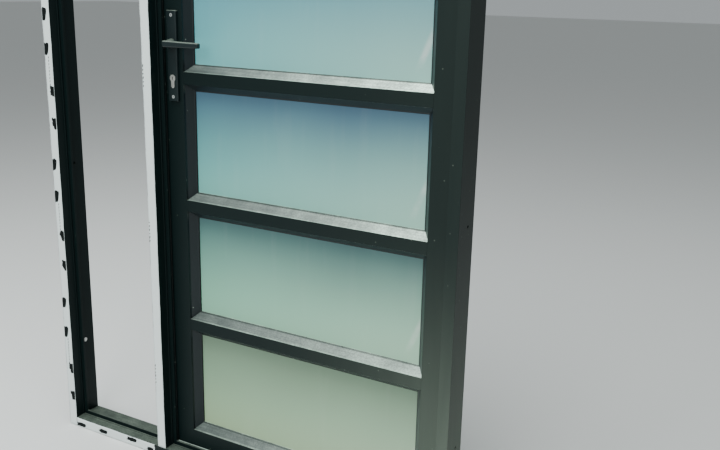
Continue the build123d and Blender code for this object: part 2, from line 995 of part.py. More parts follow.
def plate_screws():
    """Two screws through both plates and the leaf, with a round head at each end."""
    y0 = leaf_front - plate_thick
    y1 = leaf_back + plate_thick
    screws = []
    for z in plate_screw_heights():
        screw = rod_y(screw_hole, spindle_x, y0, y1, z)
        screw += rod_y(plate_screw_head, spindle_x, y0, y0 + plate_screw_head_height, z)
        screw += rod_y(plate_screw_head, spindle_x, y1 - plate_screw_head_height, y1, z)
        screws.append(screw)
    return screws


def lever(side):
    """A cast lever: a tapering neck, a cornered bend and an arm with softened long edges."""
    face = outward(side)
    plate_face = face + side * plate_thick
    tip = face + side * lever_projection
    back = tip - side * lever_deep
    tall = lever_tall / 2
    start = spindle_x - tall
    end = spindle_x + lever_length
    outline = [
        (start, back - side * lever_deep),
        (start, tip - side * lever_corner),
        (start + lever_corner, tip),
        (end, tip),
        (end, back),
        (spindle_x + tall + lever_deep, back),
        (spindle_x + tall, back - side * lever_deep),
    ]
    plan = make_face(Polyline(outline, close=True))
    arm = Pos(0, 0, spindle_height - tall) * extrude(plan, lever_tall)
    near, far = sorted((plate_face, tip))
    elevation = make_face(
        Polyline(
            [
                (start - 1, -tall),
                (end, -lever_tip_tall / 2),
                (end, lever_tip_tall / 2),
                (start - 1, tall),
            ],
            close=True,
        )
    )
    plane = Plane(origin=(0, far + 1, spindle_height), x_dir=(1, 0, 0), z_dir=(0, -1, 0))
    arm = arm & extrude(plane * elevation, far - near + 2)
    arm = fillet(arm.edges().filter_by(GeomType.LINE).filter_by(Axis.Z), lever_edge)
    above_and_below = arm.faces().sort_by(Axis.Z)
    long_edges = above_and_below[0].edges() + above_and_below[-1].edges()
    arm = fillet(long_edges, lever_soft)
    arm += lever_neck(plate_face, back, side)
    half = spindle_side / 2
    socket = sorted((plate_face - side, plate_face + side * spindle_in_lever))
    arm -= block(
        spindle_x - half, spindle_x + half, socket[0], socket[1],
        spindle_height - half, spindle_height + half,
    )
    return arm


def lever_neck(plate_face, back, side):
    """The round neck, which narrows from the rose at the plate to the arm's own height."""
    length = abs(back - plate_face)
    neck = Cone(rose_radius, lever_tall / 2, length)
    place = Plane(
        origin=(spindle_x, (plate_face + back) / 2, spindle_height),
        x_dir=(1, 0, 0),
        z_dir=(0, side, 0),
    )
    return place * neck


def spindle():
    """The square bar that joins both levers through the follower."""
    half = spindle_side / 2
    y0 = leaf_front - plate_thick - spindle_in_lever
    y1 = leaf_back + plate_thick + spindle_in_lever
    return block(
        spindle_x - half, spindle_x + half, y0, y1, spindle_height - half, spindle_height + half
    )


# Hinges

def knuckle_span(z):
    """Bottom and top of the leaf's knuckle in the middle of a hinge centred at z."""
    third = hinge_height / 3
    return z - third / 2, z + third / 2


def hinge_screw_spots(side, z):
    """Places of the screws in one hinge plate: X and Z; side +1 is the frame."""
    middle = hinge_x + side * (barrel_radius + hinge_plate_width / 2)
    return [(middle, z + step * hinge_screw_spacing) for step in (-1, 0, 1)]


def hinge_plate(side, z):
    """One flat hinge plate with its knuckles; side +1 goes on the frame, -1 on the leaf."""
    half = hinge_height / 2
    face = back_plane
    near = hinge_x + side * barrel_radius
    far = near + side * hinge_plate_width
    x0, x1 = sorted((near, far))
    plate = block(x0, x1, face, face + hinge_plate_thick, z - half, z + half)
    plate = fillet(plate.edges().filter_by(Axis.Y), plate_corner)
    low, high = knuckle_span(z)
    if side > 0:
        spans = [(z - half, low - knuckle_gap), (high + knuckle_gap, z + half)]
        bore = hinge_pin_radius
    else:
        spans = [(low, high)]
        bore = hinge_pin_radius + running_clearance
    for z0, z1 in spans:
        knuckle = rod_z(barrel_radius, hinge_x, hinge_y, z0, z1)
        a0, a1 = sorted((hinge_x + side * knuckle_gap, near + side * plate_corner))
        arm = block(
            a0, a1, hinge_y - barrel_radius + knuckle_gap, face + hinge_plate_thick, z0, z1
        )
        plate += knuckle + arm
        plate -= rod_z(bore, hinge_x, hinge_y, z0 - 1, z1 + 1)
    for x, screw_z in hinge_screw_spots(side, z):
        plate -= hinge_screw(x, screw_z)
    return plate


def hinge_pin(z):
    """A pin with a flat cap at each end."""
    half = hinge_height / 2
    pin = rod_z(hinge_pin_radius, hinge_x, hinge_y, z - half, z + half)
    pin += rod_z(pin_head_radius, hinge_x, hinge_y, z + half, z + half + pin_head_height)
    pin += rod_z(pin_head_radius, hinge_x, hinge_y, z - half - pin_head_height, z - half)
    return pin


def hinge_screw(x, z):
    """A countersunk screw through a hinge plate."""
    outer = back_plane + hinge_plate_thick
    return flush_screw(x, outer, z, Rot(90, 0, 0), hinge_screw_length)


def hinge_screws(side):
    """All hinge screws on the frame, with side +1, or on the leaf."""
    return [hinge_screw(x, sz) for z in hinge_heights for x, sz in hinge_screw_spots(side, z)]


# Tape

def tape(x0, x1, z0, z1):
    """A strip of protective tape on the frame's outdoor plane."""
    return block(x0, x1, front_plane - tape_thick, front_plane, z0, z1)


def write(node, *shapes):
    """Write one node, as a single solid or as a group of separate solids."""
    solids = [solid for shape in shapes for solid in shape.solids()]
    shape = solids[0] if len(solids) == 1 else Compound(solids)
    export_step(shape, os.path.join("parts", node + ".step"))


frame_hinge_screws = hinge_screws(1)
leaf_hinge_screws = hinge_screws(-1)

write("frame_sill", cross_member(1))
write("frame_head", cross_member(-1))
write("jamb_left", jamb(-1))
write("jamb_right", drilled(jamb(1), frame_hinge_screws))
write("mullion", mullion())
write("frame_screws", *frame_screws())
write("fixing_cap", fixing_cap())
write("door_seal", *door_seal())
write("strike_plate", strike_plate())
write("strike_screws", *strike_screws())
write("tape_jamb", tape(-frame_width / 2, -jamb_face, 0, frame_height))
write("tape_mullion", tape(mullion_left, mullion_right, sill_top, head_under))
tape_right = mullion_left - tape_end_gap
write("tape_sill", tape(-jamb_face, tape_right, 0, sill_top))
write("tape_head", tape(-jamb_face, tape_right, head_under, frame_height))
write("hinge_frame_plates", *[hinge_plate(1, z) for z in hinge_heights])
write("hinge_pins", *[hinge_pin(z) for z in hinge_heights])
write("hinge_frame_screws", *frame_hinge_screws)

write("lock_stile", lock_stile())
write("hinge_stile", drilled(stile(1), leaf_hinge_screws))
levels = rail_levels()
write("bottom_rail", rail(*levels[0]))
write("top_rail", rail(*levels[-1]))
for i, level in enumerate(levels[1:-1], start=1):
    write(f"transom_{i}", rail(*level))
for i in range(pane_count):
    write(f"glass_pane_{i + 1}", glass_pane(i))
    write(f"pane_beads_{i + 1}", *pane_beads(i))
write("gaskets_outer", *gaskets(glass_front - gasket_thick))
write("gaskets_inner", *gaskets(glass_back))
write("setting_blocks", *setting_blocks())
write("leaf_screws", *leaf_screws())
write("lock_case", lock_case())
write("lock_forend", lock_forend())
write("lock_screws", *lock_screws())
write("cylinder_body", cylinder_body())
write("handle_plate_outer", handle_plate(-1))
write("handle_plate_inner", handle_plate(1))
write("plate_screws", *plate_screws())
write("hinge_leaf_plates", *[hinge_plate(-1, z) for z in hinge_heights])
write("hinge_leaf_screws", *leaf_hinge_screws)

write("lever_outer", lever(-1))
write("lever_inner", lever(1))
write("spindle", spindle())
write("lock_follower", lock_follower())
write("latch_bolt", latch_bolt())
write("dead_bolt", dead_bolt())
write("cylinder_plugs", *cylinder_plugs())
write("cylinder_cam", cylinder_cam())

print("pane", round(pane_right - pane_left - 2 * visible_edge, 2), "x",
      round(pane_height - 2 * visible_edge, 2), "pitch", round(pane_pitch, 2))
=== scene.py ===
# %% [markdown]
# # A glazed entrance door, dressed for a studio photograph
#
# The door arrives as a frame of exact solids: hollow aluminium members, six frosted panes, their
# glazing beads, a lock and a pair of levers. Most of them only need a finish. The extrusions and
# the handles get a copy with rounded edges, and the beads and the films are made anew, because
# those are what the eye rests on. The looks are those of a door that was fitted a few days ago:
# charcoal powder coat, building dust on every ledge, white protective film that nobody has
# peeled off, and frosted glass. Some light is painted into the colours too: glare and sky
# reflection on the beads, shade under the top of each pane and dark crosses in the screw recesses.

# %% Tools and the frame of solids
import bmesh
import bpy
import json
import math
import numpy as np
from mathutils import Matrix, Vector


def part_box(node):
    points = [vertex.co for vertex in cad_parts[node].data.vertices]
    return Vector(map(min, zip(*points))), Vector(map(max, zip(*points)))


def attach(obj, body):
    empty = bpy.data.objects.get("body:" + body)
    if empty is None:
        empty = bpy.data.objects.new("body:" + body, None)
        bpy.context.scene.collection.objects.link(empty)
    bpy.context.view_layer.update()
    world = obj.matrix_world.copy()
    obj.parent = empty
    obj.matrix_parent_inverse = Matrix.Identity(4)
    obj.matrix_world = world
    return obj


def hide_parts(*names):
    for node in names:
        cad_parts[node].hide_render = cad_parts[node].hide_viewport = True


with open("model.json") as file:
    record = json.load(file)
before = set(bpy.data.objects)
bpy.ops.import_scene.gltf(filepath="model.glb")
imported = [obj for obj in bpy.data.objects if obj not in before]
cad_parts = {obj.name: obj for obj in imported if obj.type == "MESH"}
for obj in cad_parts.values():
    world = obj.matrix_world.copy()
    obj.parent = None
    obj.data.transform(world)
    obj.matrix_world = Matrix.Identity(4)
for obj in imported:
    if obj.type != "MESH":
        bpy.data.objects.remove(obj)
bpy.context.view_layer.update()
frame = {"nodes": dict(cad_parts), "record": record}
nodes = frame["nodes"]
slot_of_node = {s["node"]: s["material_slot"] for s in frame["record"]["subparts"]}
body_of_node = {node: body for body, members in frame["record"]["behaviour"]["bodies"].items()
                for node in members}
print("solids loaded:", len(nodes))

# %% [markdown]
# ## Sizes that the new pieces share with the solids
#
# The new pieces sit on the solids, so they need the same few sizes: the outdoor plane of the
# frame, the face of the leaf, the strips of film and the holes that the panes are glazed into.
# They could be typed in as numbers. They are read from the solids' own boxes instead, so that a
# pane's trim can never drift away from its pane.

# %% Read the shared sizes
mm = 0.001
pane_count = 6
front_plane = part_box("jamb_left")[0].y
jamb_tape_low, jamb_tape_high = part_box("tape_jamb")
mullion_tape_low, mullion_tape_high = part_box("tape_mullion")
sill_tape_low, sill_tape_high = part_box("tape_sill")
head_tape_low, head_tape_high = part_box("tape_head")
leaf_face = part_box("lock_stile")[0].y
leaf_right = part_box("hinge_stile")[1].x
pane_holes = []
for number in range(1, pane_count + 1):
    low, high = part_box(f"pane_beads_{number}")
    pane_holes.append((low.x, high.x, low.z, high.z))
pane_left, pane_right, first_pane_bottom, _ = pane_holes[0]
pane_pitch = pane_holes[1][2] - first_pane_bottom
print("leaf face at", round(leaf_face / mm, 1), "mm; first pane hole",
      [round(v / mm, 1) for v in pane_holes[0]])

# %% [markdown]
# ## Small helpers for surfaces
#
# Most new surfaces here are grids of points: one parameter runs along the rows and the other
# along the columns. They could be pushed into shape by hand, but a grid from a formula is the
# same every time. A helper turns such a grid into quads, and can close it on itself in either
# direction, which is how a profile becomes a bar. A sheet gets its thickness from Solidify.

# %% Grids and pieces
def grid_faces(rows, columns, close_rows=False, close_columns=False, first=0):
    """Quads of a rows x columns grid: each joins point (i, j) to its next row and column."""
    i = np.arange(rows if close_rows else rows - 1)
    j = np.arange(columns if close_columns else columns - 1)
    i, j = np.meshgrid(i, j, indexing="ij")
    below, beside = (i + 1) % rows, (j + 1) % columns
    quads = np.stack(
        [i * columns + j, below * columns + j, below * columns + beside, i * columns + beside],
        axis=-1,
    )
    return quads.reshape(-1, 4) + first


def make_piece(name, points, faces, material, body, smooth=True):
    """A mesh object at the origin with its place in its points, riding on a body."""
    mesh = bpy.data.meshes.new(name)
    mesh.from_pydata(points.reshape(-1, 3).tolist(), [], [list(map(int, f)) for f in faces])
    mesh.materials.append(material)
    mesh.validate()
    if smooth:
        mesh.shade_smooth()
    piece = bpy.data.objects.new(name, mesh)
    bpy.context.scene.collection.objects.link(piece)
    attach(piece, body)
    return piece


def thicken(piece, thickness, side):
    """Solidify a sheet: side 1 grows it outwards from its faces and side -1 inwards."""
    skin = piece.modifiers.new("sheet_thickness", "SOLIDIFY")
    skin.thickness = thickness
    skin.offset = side


print("quads in a grid of 3 x 4 points:", len(grid_faces(3, 4)))


# %% Curves for uneven edges
def smoothstep(x):
    """0 below 0, 1 above 1, and three x squared less two x cubed between them."""
    x = np.clip(x, 0, 1)
    return x * x * (3 - 2 * x)


def wander(x, seed, waves=7):
    """An uneven line: a sum of sines whose lengths shrink and whose phases come from seed."""
    rng = np.random.default_rng(seed)
    steps = np.arange(1, waves + 1)
    phase = rng.uniform(0, 2 * math.pi, waves)
    stretch = rng.uniform(0.8, 1.3, waves)
    return np.sum(np.sin(np.multiply.outer(x, steps * stretch) + phase) / steps, axis=-1) / 2


print("a wandering line:", np.round(wander(np.arange(4.0), 3), 2))

# %% [markdown]
# ## Shader helpers
#
# Node trees could be built by setting every socket in a line of its own. They are easier to read
# when each node is made in one line with its settings and inputs, so the materials below use a
# few short helpers.

# %% Node helpers
def set_inputs(tree, made, inputs):
    """Link each given socket to the node's input of that name, or set the input's value."""
    for key, value in inputs.items():
        if isinstance(value, bpy.types.NodeSocket):
            tree.links.new(value, made.inputs[key])
        else:
            made.inputs[key].default_value = value


def add_node(tree, kind, inputs=None, **settings):
    """A node of that kind, with its settings and with values or links for its inputs."""
    made = tree.nodes.new(kind)
    for key, value in settings.items():
        setattr(made, key, value)
    set_inputs(tree, made, inputs or {})
    return made


def shader(name):
    """A material with its Principled shader: returns the material, its tree and the shader."""
    material = bpy.data.materials.new(name)
    material.use_nodes = True
    return material, material.node_tree, material.node_tree.nodes["Principled BSDF"]


def group_tree(name, inputs, outputs):
    """An empty node group with named sockets: returns it with its input and output nodes."""
    tree = bpy.data.node_groups.new(name, "ShaderNodeTree")
    for label, kind, value in inputs:
        socket = tree.interface.new_socket(label, in_out="INPUT", socket_type=kind)
        socket.default_value = value
    for label, kind in outputs:
        tree.interface.new_socket(label, in_out="OUTPUT", socket_type=kind)
    return tree, tree.nodes.new("NodeGroupInput"), tree.nodes.new("NodeGroupOutput")


def use_group(tree, group, inputs):
    """A node group placed in a material with its own values."""
    return add_node(tree, "ShaderNodeGroup", inputs, node_tree=group)


print("node helpers:", add_node.__name__, shader.__name__, group_tree.__name__, use_group.__name__)


# %% Short names for the nodes used most
def arith(tree, operation, *values):
    """A Math node on those values or sockets, clamped at neither end: returns its output."""
    return add_node(tree, "ShaderNodeMath", dict(enumerate(values)), operation=operation).outputs[0]


def ranged(tree, value, low, high, to_low=0.0, to_high=1.0, soft=False):
    """value from low..high to to_low..to_high, held at the ends, in a straight line or an S."""
    kind = "SMOOTHSTEP" if soft else "LINEAR"
    made = add_node(tree, "ShaderNodeMapRange",
                    {"Value": value, "From Min": low, "From Max": high, "To Min": to_low,
                     "To Max": to_high}, interpolation_type=kind)
    return made.outputs["Result"]


def noise(tree, vector, scale, detail=2.0, stretch=None, turn=0.0):
    """Noise on those coordinates, which may be stretched and turned about Y first."""
    if stretch:
        vector = add_node(tree, "ShaderNodeMapping",
                          {"Vector": vector, "Rotation": (0.0, turn, 0.0),
                           "Scale": stretch}).outputs["Vector"]
    inputs = {"Vector": vector, "Scale": scale, "Detail": detail}
    made = add_node(tree, "ShaderNodeTexNoise", inputs)
    return made.outputs["Fac"]


def mixed(tree, factor, first, second):
    """Colour first where factor is 0 and second where it is 1."""
    made = add_node(tree, "ShaderNodeMix", {"Factor": factor, "A": first, "B": second},
                    data_type="RGBA")
    return made.outputs["Result"]


print("short names:", arith.__name__, ranged.__name__, noise.__name__, mixed.__name__)

# %% [markdown]
# ## Building dust and painted glare
#
# Dust falls, so it lies on what faces up and hardly at all on what stands upright. A few specks of
# mortar stick anywhere, and rain has splashed a pale film on the foot of the hinge side. On what
# faces up, the same mask also carries painted glare. It grows towards the hinges, more so higher
# up and on level crests. It could be painted on by hand, but then a changed door would need new
# paint. The group works it all out from the way the surface faces, from where it is and from
# noise, and gives out a colour, a roughness and a mask.

# %% Parts of the dust
def dust_texture(tree, place):
    """Blotches times fine grain times streaks that run along the bars."""
    blotch = ranged(tree, noise(tree, place, 26.0, 5.0), 0.32, 0.68, 0.62, 1.15)
    grain = ranged(tree, noise(tree, place, 240.0, 4.0), 0.35, 0.65, 0.72, 1.18)
    streak = ranged(tree, noise(tree, place, 1.0, 4.0, (7.0, 260.0, 260.0)), 0.35, 0.65, 0.8, 1.1)
    return arith(tree, "MULTIPLY", arith(tree, "MULTIPLY", blotch, grain), streak)


def mortar_specks(tree, place):
    """Round specks 3 mm across: near the middles of a few of the cells of a 3-D cell pattern."""
    cells = add_node(tree, "ShaderNodeTexVoronoi", {"Vector": place, "Scale": 55.0})
    near = ranged(tree, cells.outputs["Distance"], 0.06, 0.1, 1.0, 0.0)
    chance = add_node(tree, "ShaderNodeSeparateColor", {"Color": cells.outputs["Color"]})
    chosen = arith(tree, "GREATER_THAN", chance.outputs["Red"], 0.82)
    return arith(tree, "MULTIPLY", near, chosen)


print("parts of the dust:", dust_texture.__name__, mortar_specks.__name__)


# %% The sockets of the dust group
dust_and_glare_inputs = [
    ("Coat", "NodeSocketColor", (0.02, 0.025, 0.03, 1)),
    ("Dust And Glare", "NodeSocketColor", (0.35, 0.36, 0.32, 1)),
    ("Ledge Amount", "NodeSocketFloat", 0.6),
    ("Glare Amount", "NodeSocketFloat", 0.0),
    ("Film Amount", "NodeSocketFloat", 0.1),
    ("Coat Roughness", "NodeSocketFloat", 0.4),
]
dust_and_glare_outputs = [
    ("Color", "NodeSocketColor"),
    ("Roughness", "NodeSocketFloat"),
    ("Mask", "NodeSocketFloat"),
]
print("dust sockets:", len(dust_and_glare_inputs), "in and", len(dust_and_glare_outputs), "out")

# %% The dust group
speck_strength = 0.25
dust_roughness = 0.85


def build_dust_and_glare_group():
    """Mask = ledge amount x facing up x (1 + glare amount x (nearness to the hinges squared, more
    so higher up, + a little on level crests)) x texture + film amount x (a little near the
    hinges + more at their foot) x runs + specks. The glare term is painted glare."""
    tree, given, result = group_tree("dust_and_glare", dust_and_glare_inputs, dust_and_glare_outputs)
    place = add_node(tree, "ShaderNodeTexCoord").outputs["Object"]
    where = add_node(tree, "ShaderNodeSeparateXYZ", {"Vector": place})
    normal = add_node(tree, "ShaderNodeNewGeometry").outputs["Normal"]
    facing = add_node(tree, "ShaderNodeSeparateXYZ", {"Vector": normal})
    up = ranged(tree, facing.outputs["Z"], 0.15, 0.8)
    hinges = ranged(tree, where.outputs["X"], pane_left, leaf_right)
    hinges_squared = arith(tree, "POWER", hinges, 2.0)

    # Painted glare: nearness to the hinges squared, more so higher up, plus a little on level
    # crests.
    tall = ranged(tree, where.outputs["Z"], 0.43, 1.1, 0.35, 0.9)
    crest_glint = ranged(tree, facing.outputs["Z"], 0.85, 0.98, 0.0, 0.15)
    side = arith(tree, "MULTIPLY", arith(tree, "MULTIPLY_ADD", hinges_squared, tall, crest_glint),
                 given.outputs["Glare Amount"])
    side = arith(tree, "ADD", side, 1.0)
    # Dust on what faces up, raised towards the hinges by the painted glare.
    ledge = arith(tree, "MULTIPLY", arith(tree, "MULTIPLY", up, side),
                  given.outputs["Ledge Amount"])
    ledge = arith(tree, "MULTIPLY", ledge, dust_texture(tree, place))

    foot = ranged(tree, where.outputs["Z"], 0.05, 0.8, 0.84, 0.0, soft=True)
    foot = arith(tree, "MULTIPLY", foot, arith(tree, "POWER", hinges, 3.0))
    film = arith(tree, "MULTIPLY_ADD", hinges_squared, 0.07, foot)
    run = ranged(tree, noise(tree, place, 1.0, 3.0, (40.0, 40.0, 4.0)), 0.3, 0.7, 0.92, 1.06)
    film = arith(tree, "MULTIPLY", arith(tree, "MULTIPLY", film, run),
                 given.outputs["Film Amount"])
    specks = arith(tree, "MULTIPLY", mortar_specks(tree, place), speck_strength)
    mask = arith(tree, "ADD", arith(tree, "ADD", ledge, film), specks)
    mask = ranged(tree, mask, 0.0, 1.0)

    colour = mixed(tree, mask, given.outputs["Coat"], given.outputs["Dust And Glare"])
    rough_inputs = {"Factor": mask, "A": given.outputs["Coat Roughness"], "B": dust_roughness}
    rough = add_node(tree, "ShaderNodeMix", rough_inputs, data_type="FLOAT")
    tree.links.new(colour, result.inputs["Color"])
    tree.links.new(rough.outputs["Result"], result.inputs["Roughness"])
    tree.links.new(mask, result.inputs["Mask"])
    return tree


dust_and_glare = build_dust_and_glare_group()
print("dust group:", dust_and_glare.name, "with", len(dust_and_glare.nodes), "nodes")

# %% [markdown]
# ## Powder coat
#
# Powder coat is sprayed on dry and baked, and it flows into a very fine orange peel. The peel is
# far too small to model, so it is a bump made by noise about a millimetre across. The coat is a
# charcoal with a little teal in it. The beads round the panes slope and face the sky. Their pale
# tone is partly dust and partly a painted reflection of the sky, with painted glare that grows
# towards the hinges, so they have a coat of their own from the same function. On the levers' top
# faces, the pale tone is partly dust and partly a painted highlight.

# %% The powder coat materials
def powder_coat(name, colour, dust, ledge, side, film, shine, roughness):
    """Charcoal coat under settled dust, with an orange-peel bump; shine is the specular level.
    Where side is set, the same mask also paints glare towards the hinges.
    """
    material, tree, surface = shader(name)
    place = add_node(tree, "ShaderNodeTexCoord").outputs["Object"]
    # The dust colour also paints glare, and on the beads sky reflection, where those are set.
    dirt = use_group(tree, dust_and_glare, {"Coat": (*colour, 1), "Dust And Glare": (*dust, 1),
                                          "Ledge Amount": ledge, "Glare Amount": side,
                                          "Film Amount": film, "Coat Roughness": roughness})
    bump = add_node(tree, "ShaderNodeBump",
                    {"Height": noise(tree, place, 700.0), "Strength": 0.12, "Distance": 0.0004})
    tree.links.new(dirt.outputs["Color"], surface.inputs["Base Color"])
    tree.links.new(dirt.outputs["Roughness"], surface.inputs["Roughness"])
    tree.links.new(bump.outputs["Normal"], surface.inputs["Normal"])
    surface.inputs["Specular IOR Level"].default_value = shine
    return material


grey_dust_and_highlight = (0.275, 0.33, 0.262)
# Pale colour of the dust on the beads and gaskets, which also carries their painted reflection and
# glare.
pale_dust_and_glare = (0.81, 0.98, 0.84)
charcoal_profile = powder_coat("charcoal_profile", (0.003, 0.0085, 0.0085), grey_dust_and_highlight,
                               ledge=0.28, side=0.0, film=0.38, shine=0.14, roughness=0.45)
# Beads: the pale tone is partly dust and partly painted sky reflection, and side adds painted glare
# towards the hinges.
charcoal_bead = powder_coat("charcoal_bead", (0.004, 0.009, 0.011), pale_dust_and_glare,
                            ledge=0.108, side=12.0, film=0.1, shine=0.36, roughness=0.4)
# Levers: the pale tone on their top faces is partly dust and partly a painted highlight.
handle_coat = powder_coat("handle_coat", (0.005, 0.011, 0.012), grey_dust_and_highlight,
                          ledge=0.35, side=0.0, film=0.05, shine=0.4, roughness=0.34)
hinge_coat = powder_coat("hinge_coat", (0.004, 0.01, 0.011), grey_dust_and_highlight,
                         ledge=0.3, side=0.0, film=0.05, shine=0.3, roughness=0.4)
print("coats:", [m.name for m in (charcoal_profile, charcoal_bead, handle_coat, hinge_coat)])

# %% [markdown]
# ## Frosted glass
#
# Acid-etched glass scatters light, so nothing sharp shows through it and it looks like a pale
# sheet. A clear rough glass could do it, but it would take its colour from the studio behind it.
# So most of the light is scattered at the surface, and what it scatters drifts: bluish green
# high up and a paler yellow green near the ground. Each pane is darker and bluer under its top
# edge, which is painted shade. It is paler and greyer towards the hinges low down, which is
# painted light. There are two ramps on height: one for the feet of the panes, and one for the
# painted shade under the top of each pane. They are mixed by the height inside a pane. Slow noise
# bends the drift, and a faint wiped band crosses the corner of each pane.

# %% Helpers for the glass
def colour_ramp(tree, factor, stops):
    """A colour ramp through those (position, colour) stops."""
    made = add_node(tree, "ShaderNodeValToRGB", {"Fac": factor})
    elements = made.color_ramp.elements
    for element, (position, colour) in zip(elements, (stops[0], stops[-1])):
        element.position = position
        element.color = (*colour, 1)
    for position, colour in stops[1:-1]:
        elements.new(position).color = (*colour, 1)
    return made.outputs["Color"]


def wiped_band(tree, across, up_pane, place):
    """1 on a slanted band near the pane's lower corner by the hinges, broken up by noise: full
    within 2 mm of the line x = start + slope x height in the pane and gone 12 mm from it."""
    start, slope = pane_right - 68 * mm, 0.135
    line = arith(tree, "MULTIPLY_ADD", up_pane, slope, start)
    off = arith(tree, "ABSOLUTE", arith(tree, "SUBTRACT", across, line))
    band = ranged(tree, off, 0.002, 0.012, 1.0, 0.0, soft=True)
    above = ranged(tree, up_pane, 0.1, 0.2, soft=True)
    below = ranged(tree, up_pane, 0.3, 0.5, 1.0, 0.0, soft=True)
    broken = ranged(tree, noise(tree, place, 18.0, 3.0), 0.3, 0.5)
    return arith(tree, "MULTIPLY", arith(tree, "MULTIPLY", band, broken),
                 arith(tree, "MULTIPLY", above, below))


print("pane pitch in mm:", round(pane_pitch / mm, 1))

# %% The colours of the glass, as (height in metres, colour)
glass_span = 2.1
foot_colours = [(0.08, (0.33, 0.45, 0.26)), (0.5, (0.22, 0.5, 0.36)), (0.85, (0.13, 0.41, 0.4)),
                (1.3, (0.11, 0.39, 0.43))]
# Painted shade under each pane's top edge, darker and bluer, by height.
top_shade_colours = [(0.3, (0.19, 0.27, 0.18)), (0.68, (0.05, 0.115, 0.125)),
               (1.04, (0.06, 0.13, 0.21)), (1.4, (0.08, 0.27, 0.34))]
# Painted light: the paler tone low on the hinge side of each pane.
hinge_side_light_colour = (0.5, 0.63, 0.48, 1)
wiped_colour = (0.72, 0.74, 0.7, 1)
print("glass colours:", len(foot_colours) + len(top_shade_colours) + 2)


# %% The glass material
def build_frosted_glass():
    """Foot colour towards the painted top shade by an S on the height in the pane, with a painted
    lighter, greyer tone to the right low in the pane.
    """
    material, tree, surface = shader("frosted_glass")
    place = add_node(tree, "ShaderNodeTexCoord").outputs["Object"]
    where = add_node(tree, "ShaderNodeSeparateXYZ", {"Vector": place})
    slow = arith(tree, "MULTIPLY_ADD", noise(tree, place, 2.2), 0.4, -0.2)
    on_ramp = arith(tree, "DIVIDE", where.outputs["Z"], glass_span)
    feet = colour_ramp(tree, on_ramp, [(z / glass_span, c) for z, c in foot_colours])
    painted_top_shade = colour_ramp(tree, on_ramp, [(z / glass_span, c) for z, c in top_shade_colours])
    up_pane = arith(tree, "MULTIPLY_ADD", where.outputs["Z"], 1 / pane_pitch,
                    -first_pane_bottom / pane_pitch)
    up_pane = arith(tree, "FRACT", up_pane)
    # Painted shade: how far down from each pane's top edge the darker colour reaches.
    top_shade_amount = ranged(tree, arith(tree, "MULTIPLY_ADD", slow, 0.8, up_pane), 0.1, 0.98, soft=True)
    drifted = mixed(tree, top_shade_amount, feet, painted_top_shade)
    # Painted light: paler towards the hinges, low in the pane.
    right = ranged(tree, where.outputs["X"], pane_left, pane_right, 0.0, 0.45)
    right = arith(tree, "MULTIPLY", right, arith(tree, "SUBTRACT", 1.0, top_shade_amount))
    drifted = mixed(tree, right, drifted, hinge_side_light_colour)
    wipe = ranged(tree, noise(tree, place, 1.0, 3.0, (30.0, 30.0, 4.0), 0.5), 0.55, 0.8, 0.0, 0.035)
    band = wiped_band(tree, where.outputs["X"], up_pane, place)
    wipe = arith(tree, "MULTIPLY_ADD", band, 0.4, wipe)
    drifted = mixed(tree, wipe, drifted, wiped_colour)
    tree.links.new(drifted, surface.inputs["Base Color"])
    etch = add_node(tree, "ShaderNodeBump",
                    {"Height": noise(tree, place, 900.0), "Strength": 0.08, "Distance": 0.0003})
    tree.links.new(etch.outputs["Normal"], surface.inputs["Normal"])
    surface.inputs["Roughness"].default_value = 0.55
    surface.inputs["Transmission Weight"].default_value = 0.15
    surface.inputs["IOR"].default_value = 1.5
    surface.inputs["Specular IOR Level"].default_value = 0.3
    return material


frosted_glass = build_frosted_glass()
print("glass:", frosted_glass.name, "with", len(frosted_glass.node_tree.nodes), "nodes")

# %% [markdown]
# ## Rubber, film and metals
#
# The small materials are simple: a milky plastic film with a little gloss, zinc-plated steel for
# screws, nickel on the lock cylinder and plain white plastic. Each could have a tree of its own,
# but at this size only colour, gloss and an uneven sheen can be told apart, so one function makes
# them all. The black rubber of the gaskets takes dust and painted glare as the coat does. This
# draws a pale line along the foot of each pane that is partly dust and partly a painted reflection.

# %% The small materials
sheen_swing = 0.08


def plain_material(name, colour, roughness, metallic=0.0, grain=0.0, grain_scale=300.0,
                   shine=0.5):
    """One colour with a noise on its roughness, for a finish that is the same all over."""
    material, tree, surface = shader(name)
    place = add_node(tree, "ShaderNodeTexCoord").outputs["Object"]
    surface.inputs["Base Color"].default_value = (*colour, 1)
    surface.inputs["Metallic"].default_value = metallic
    surface.inputs["Specular IOR Level"].default_value = shine
    mottle = noise(tree, place, grain_scale, 3.0)
    uneven = ranged(tree, mottle, 0.0, 1.0, roughness - sheen_swing, roughness + sheen_swing)
    tree.links.new(uneven, surface.inputs["Roughness"])
    if grain:
        bump = add_node(tree, "ShaderNodeBump",
                        {"Height": mottle, "Strength": grain, "Distance": 0.0003})
        tree.links.new(bump.outputs["Normal"], surface.inputs["Normal"])
    return material


# Gaskets: the pale line on their top faces is partly dust and partly a painted reflection.
black_rubber = powder_coat("black_rubber", (0.01, 0.011, 0.011), pale_dust_and_glare,
                           ledge=0.4, side=1.5, film=0.0, shine=0.3, roughness=0.6)
zinc_steel = plain_material("zinc_steel", (0.86, 0.89, 0.88), 0.42, metallic=1.0)
lock_steel = plain_material("lock_steel", (0.5, 0.5, 0.48), 0.4, metallic=1.0, grain=0.1)
nickel_brass = plain_material("nickel_brass", (0.86, 0.85, 0.8), 0.36, metallic=1.0)
white_plastic = plain_material("white_plastic", (0.75, 0.75, 0.72), 0.45)
block_plastic = plain_material("block_plastic", (0.06, 0.09, 0.08), 0.5)
white_film = plain_material("white_film", (0.66, 0.72, 0.71), 0.4, grain=0.25, grain_scale=90.0)
